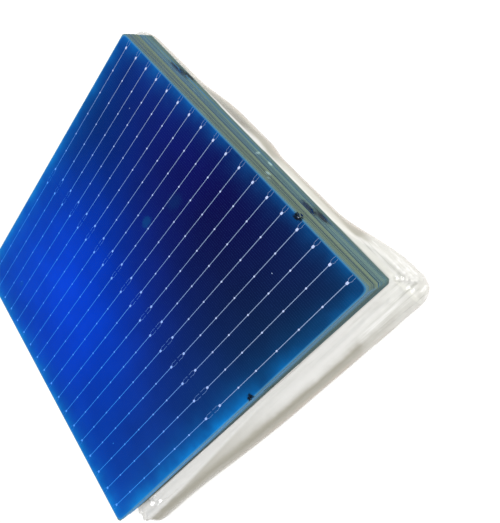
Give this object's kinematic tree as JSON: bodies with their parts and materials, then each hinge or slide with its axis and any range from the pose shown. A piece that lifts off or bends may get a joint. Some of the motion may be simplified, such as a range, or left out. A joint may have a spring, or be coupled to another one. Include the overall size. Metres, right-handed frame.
{
  "type": "stack of bare solar cells",
  "caption": "Opened pack of bare square silicon solar cells stacked on a foam pad, clear film still round the pad; printed silver busbars on the sunny side.",
  "frame": {"origin": "middle of the film's flat underside, under the pack", "axes": "+Z out of the sunny side of the cells, away from the pad; X across the busbars; Y along the busbars, +Y being the side that the stack leans away from"},
  "size_m": [0.244, 0.2306, 0.0286],
  "materials": {
    "sunny_side": "gloss",
    "printed_silver": "satin",
    "rear_metal": "matte",
    "stacked_cells": "satin",
    "interleaf_paper": "matte",
    "white_foam": "matte",
    "clear_film": "gloss"
  },
  "bodies": {
    "packing": {"foam_pad": "white_foam", "film_wrap": "clear_film"},
    "cell_stack": {"cells_009_014": "stacked_cells", "cells_015_020": "stacked_cells", "cells_021_026": "stacked_cells", "cells_027_032": "stacked_cells", "cells_033_038": "stacked_cells", "cells_039_044": "stacked_cells", "cells_045_050": "stacked_cells", "cells_051_055": "stacked_cells", "cells_056_060": "stacked_cells", "cells_061_065": "stacked_cells", "cells_066_070": "stacked_cells", "cells_071_075": "stacked_cells", "cells_076_080": "stacked_cells", "cells_081_085": "stacked_cells", "cells_086_090": "stacked_cells", "cells_091_095": "stacked_cells", "cells_096_100": "stacked_cells", "interleaf_sheet": "interleaf_paper"},
    "cell_001": {"cell_001_front_grid_a": "printed_silver", "cell_001_front_grid_b": "printed_silver", "cell_001_rear_print": "rear_metal", "cell_001_wafer": "sunny_side"},
    "cell_002": {"cell_002_front_grid_a": "printed_silver", "cell_002_front_grid_b": "printed_silver", "cell_002_rear_print": "rear_metal", "cell_002_wafer": "sunny_side"},
    "cell_003": {"cell_003_front_grid_a": "printed_silver", "cell_003_front_grid_b": "printed_silver", "cell_003_rear_print": "rear_metal", "cell_003_wafer": "sunny_side"},
    "cell_004": {"cell_004_front_grid_a": "printed_silver", "cell_004_front_grid_b": "printed_silver", "cell_004_rear_print": "rear_metal", "cell_004_wafer": "sunny_side"},
    "cell_005": {"cell_005_front_grid_a": "printed_silver", "cell_005_front_grid_b": "printed_silver", "cell_005_rear_print": "rear_metal", "cell_005_wafer": "sunny_side"},
    "cell_006": {"cell_006_front_grid_a": "printed_silver", "cell_006_front_grid_b": "printed_silver", "cell_006_rear_print": "rear_metal", "cell_006_wafer": "sunny_side"},
    "cell_007": {"cell_007_front_grid_a": "printed_silver", "cell_007_front_grid_b": "printed_silver", "cell_007_rear_print": "rear_metal", "cell_007_wafer": "sunny_side"},
    "cell_008": {"cell_008_front_grid_a": "printed_silver", "cell_008_front_grid_b": "printed_silver", "cell_008_rear_print": "rear_metal", "cell_008_wafer": "sunny_side"}
  },
  "joints": [
    {"name": "stack_lift", "type": "slide", "parent": "packing", "child": "cell_stack", "axis": [0, 0, 1], "range_m": [0, 0.04]},
    {"name": "cell_008_lift", "type": "slide", "parent": "cell_stack", "child": "cell_008", "axis": [0, 0, 1], "range_m": [0, 0.02]},
    {"name": "cell_007_lift", "type": "slide", "parent": "cell_008", "child": "cell_007", "axis": [0, 0, 1], "range_m": [0, 0.02]},
    {"name": "cell_006_lift", "type": "slide", "parent": "cell_007", "child": "cell_006", "axis": [0, 0, 1], "range_m": [0, 0.02]},
    {"name": "cell_005_lift", "type": "slide", "parent": "cell_006", "child": "cell_005", "axis": [0, 0, 1], "range_m": [0, 0.02]},
    {"name": "cell_004_lift", "type": "slide", "parent": "cell_005", "child": "cell_004", "axis": [0, 0, 1], "range_m": [0, 0.02]},
    {"name": "cell_003_lift", "type": "slide", "parent": "cell_004", "child": "cell_003", "axis": [0, 0, 1], "range_m": [0, 0.02]},
    {"name": "cell_002_lift", "type": "slide", "parent": "cell_003", "child": "cell_002", "axis": [0, 0, 1], "range_m": [0, 0.02]},
    {"name": "cell_001_lift", "type": "slide", "parent": "cell_002", "child": "cell_001", "axis": [0, 0, 1], "range_m": [0, 0.02]}
  ]
}
